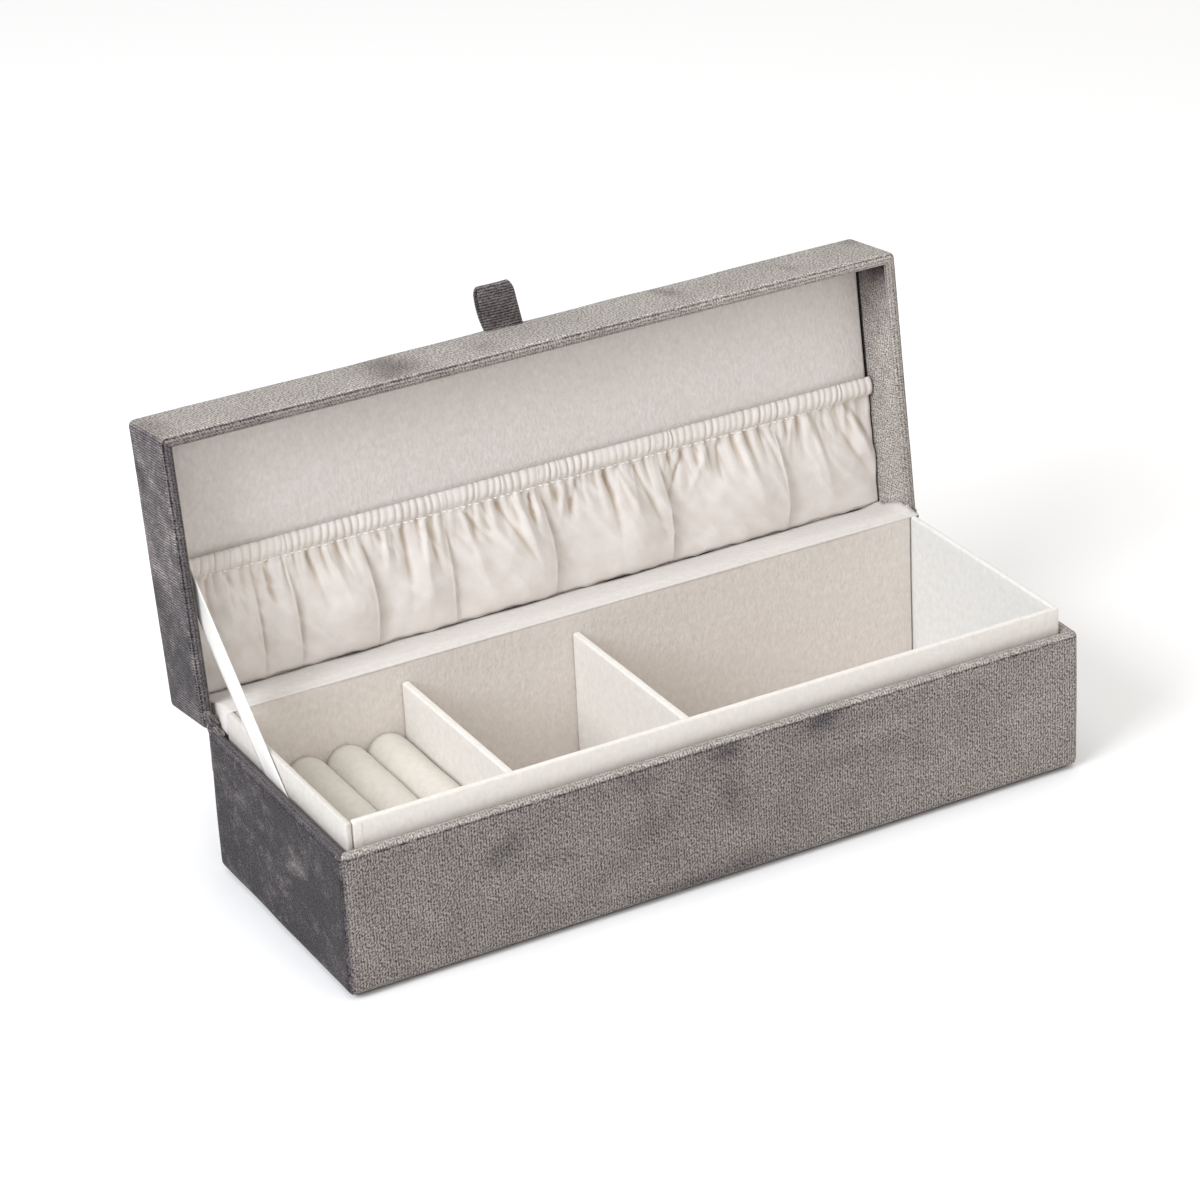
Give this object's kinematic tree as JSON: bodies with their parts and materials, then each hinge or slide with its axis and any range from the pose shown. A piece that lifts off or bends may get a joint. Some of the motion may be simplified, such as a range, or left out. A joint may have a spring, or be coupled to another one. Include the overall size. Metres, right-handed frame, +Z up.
{
  "type": "hinged jewelry box",
  "caption": "Long velvet-covered jewellery box with a hinged lid, proud cream liner, dividers, ring rolls, gathered lid pocket, ribbon stay and pull tab.",
  "frame": {"origin": "centre of the underside, on the surface that the box stands on", "axes": "+X along the length to the user's right, -Y towards the user at the front, +Z up; the hinge line is along X at the top of the back wall"},
  "size_m": [0.26, 0.1347, 0.1547],
  "materials": {
    "velvet": "warm mid-grey short-pile velvet",
    "grey_board": "raw grey pulp board",
    "underside_paper": "matt dark flocked paper",
    "cream_liner": "cream brushed lining fabric",
    "cream_rolls": "smooth cream lining fabric",
    "foam": "soft open-cell foam",
    "cream_pocket": "thin cream cloth, gathered",
    "elastic": "woven white elastic",
    "satin": "white satin ribbon"
  },
  "bodies": {
    "case": {"base_velvet_cover": "velvet", "hinge_spine_velvet": "velvet", "base_floor_board": "grey_board", "base_front_board": "grey_board", "base_back_board": "grey_board", "base_left_board": "grey_board", "base_right_board": "grey_board", "base_underside_sheet": "underside_paper", "liner_front_wall": "cream_liner", "liner_back_wall": "cream_liner", "liner_left_wall": "cream_liner", "liner_right_wall": "cream_liner", "liner_floor": "cream_liner", "divider_left": "cream_liner", "divider_right": "cream_liner", "hinge_strip_inner": "cream_liner", "ring_roll_cover_1": "cream_rolls", "ring_roll_cover_2": "cream_rolls", "ring_roll_cover_3": "cream_rolls", "ring_roll_cover_4": "cream_rolls", "ring_roll_foam_1": "foam", "ring_roll_foam_2": "foam", "ring_roll_foam_3": "foam", "ring_roll_foam_4": "foam", "ribbon_stay": "satin"},
    "lid": {"lid_top_board": "grey_board", "lid_front_board": "grey_board", "lid_back_board": "grey_board", "lid_left_board": "grey_board", "lid_right_board": "grey_board", "lid_velvet_cover": "velvet", "lid_panel_board": "grey_board", "lid_panel_pad": "cream_liner", "pocket_fabric": "cream_pocket", "pocket_elastic": "elastic", "pull_tab": "velvet"}
  },
  "joints": [
    {"name": "lid_hinge", "type": "hinge", "parent": "case", "child": "lid", "pos_m": [0, 0.0475, 0.0493], "axis": [1, 0, 0], "range_deg": [0, 97], "deforming": ["ribbon_stay", "hinge_spine_velvet", "hinge_strip_inner"]}
  ]
}
